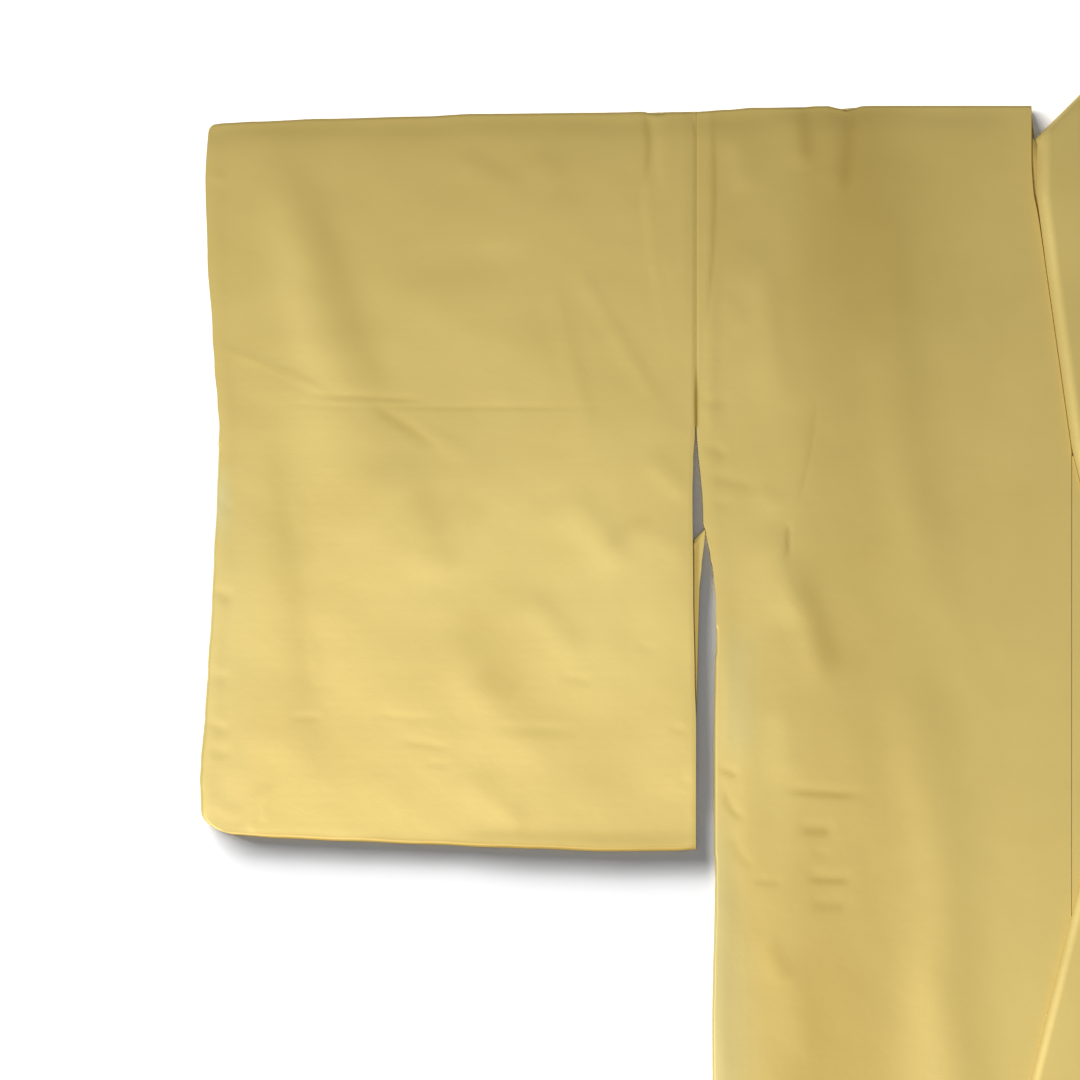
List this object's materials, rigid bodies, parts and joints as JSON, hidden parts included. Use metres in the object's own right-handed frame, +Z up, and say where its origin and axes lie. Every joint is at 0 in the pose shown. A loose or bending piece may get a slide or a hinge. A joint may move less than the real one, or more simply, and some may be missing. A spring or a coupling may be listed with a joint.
{
  "type": "tsukesage kimono",
  "caption": "Plain golden-yellow silk kimono with square sleeves, laid out flat front side up, with its fronts closed left over right and a wrapped collar.",
  "frame": {"origin": "the middle of the bounding box's base, on the surface that the kimono lies on, half way from the hem to the top of the collar", "axes": "+X to the viewer's right across both sleeves, which is the wearer's left, +Y from the hem to the collar, +Z up out of the laid-out front"},
  "size_m": [1.3025, 1.634, 0.0112],
  "materials": {
    "yellow_silk": "smooth plain silk with a soft satin sheen, golden yellow"
  },
  "bodies": {
    "root": {"right_sleeve": "yellow_silk", "left_sleeve": "yellow_silk", "right_body": "yellow_silk", "left_body": "yellow_silk", "right_overlap": "yellow_silk", "left_overlap": "yellow_silk", "collar": "yellow_silk", "over_collar": "yellow_silk"}
  },
  "joints": []
}
